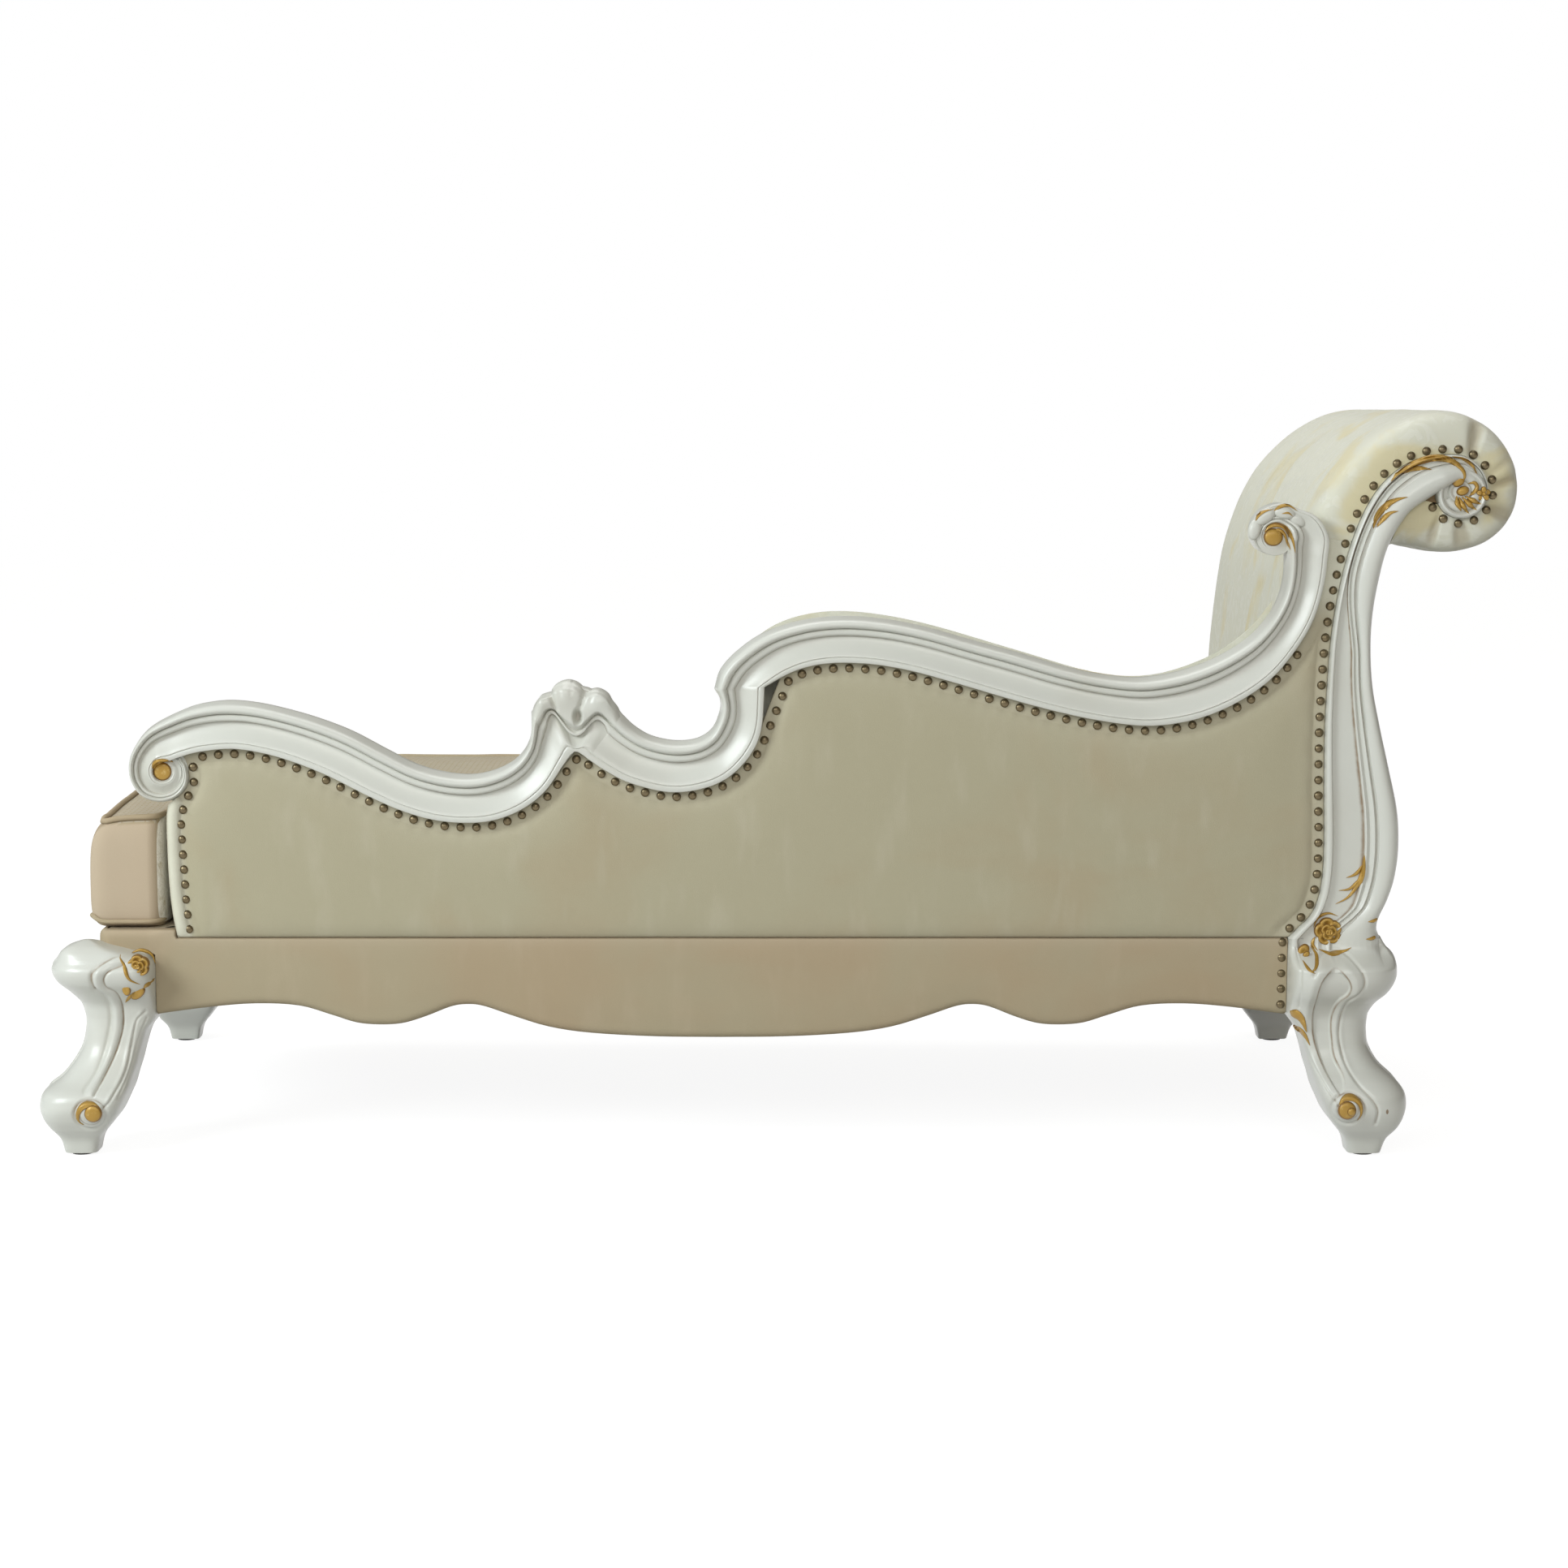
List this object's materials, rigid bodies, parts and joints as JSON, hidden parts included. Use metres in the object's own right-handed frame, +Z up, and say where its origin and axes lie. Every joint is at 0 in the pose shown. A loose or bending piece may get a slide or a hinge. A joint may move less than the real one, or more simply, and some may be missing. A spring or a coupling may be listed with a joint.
{
  "type": "chaise longue",
  "caption": "Upholstered chaise longue with a carved serpentine rail along one side, a scrolled head, cabriole legs and a loose seat cushion.",
  "frame": {"origin": "on the floor, under the middle of the overall box", "axes": "+X from the foot end towards the scrolled head, -Y towards the side with the carved rail, +Z up"},
  "size_m": [2.0454, 0.9306, 1.0306],
  "materials": {
    "painted_wood": "pearl off-white paint, rubbed and antiqued in the hollows",
    "gilt": "antique gold gilding on carved wood",
    "antique_brass": "antiqued, domed",
    "velvet": "short beige velvet",
    "seat_velvet": "beige velvet on the seat cushion and the base",
    "damask": "pale cream damask",
    "frame_wood": "plain sawn hardwood",
    "spring_steel": "oiled spring steel",
    "bolt_steel": "zinc plated",
    "hessian": "jute hessian and webbing",
    "wadding": "cotton wadding and foam",
    "dust_black": "black cambric",
    "tube_board": "brown tube for the roll, as card or plywood",
    "glide": "dark nylon"
  },
  "bodies": {
    "frame": {"leg_foot_rear": "painted_wood", "leg_foot_front": "painted_wood", "leg_head_rear": "painted_wood", "leg_head_front": "painted_wood", "floor_glides": "glide", "seat_rail_rear": "frame_wood", "seat_rail_front": "frame_wood", "seat_rail_foot": "frame_wood", "seat_rail_head": "frame_wood", "cross_stretchers": "frame_wood", "corner_blocks": "frame_wood", "leg_bolts": "bolt_steel", "seat_springs": "spring_steel", "spring_clips": "spring_steel", "deck_hessian": "hessian", "deck_pad": "wadding", "deck_cloth": "seat_velvet", "dust_cloth": "dust_black", "side_uprights": "frame_wood", "side_lining": "hessian", "side_inner_cover": "damask", "side_outer_cover": "velvet", "carved_top_rail": "painted_wood", "rail_crest": "painted_wood", "scroll_buttons": "gilt", "head_post_rear": "painted_wood", "head_post_front": "painted_wood", "head_neck_rear": "painted_wood", "head_neck_front": "painted_wood", "head_scroll_rear": "painted_wood", "head_scroll_front": "painted_wood", "head_cheek_rear": "frame_wood", "head_cheek_front": "frame_wood", "head_cross_rails": "frame_wood", "roll_core": "tube_board", "back_webbing": "hessian", "inner_back_cover": "damask", "outer_back_cover": "damask", "base_cover_rear": "seat_velvet", "base_cover_front": "seat_velvet", "base_cover_foot": "seat_velvet", "base_cover_head": "seat_velvet", "nails_side": "antique_brass", "nails_side_foot": "antique_brass", "nails_post_rear": "antique_brass", "nails_post_front": "antique_brass", "leg_rosettes": "gilt", "foot_scrolls": "gilt"},
    "cushion": {"cushion_cover": "seat_velvet", "cushion_core": "wadding", "cushion_top_piping": "seat_velvet", "cushion_bottom_piping": "seat_velvet"}
  },
  "joints": [
    {"name": "cushion_slide", "type": "slide", "parent": "frame", "child": "cushion", "axis": [0, 1, 0], "range_m": [0, 0.8]}
  ]
}
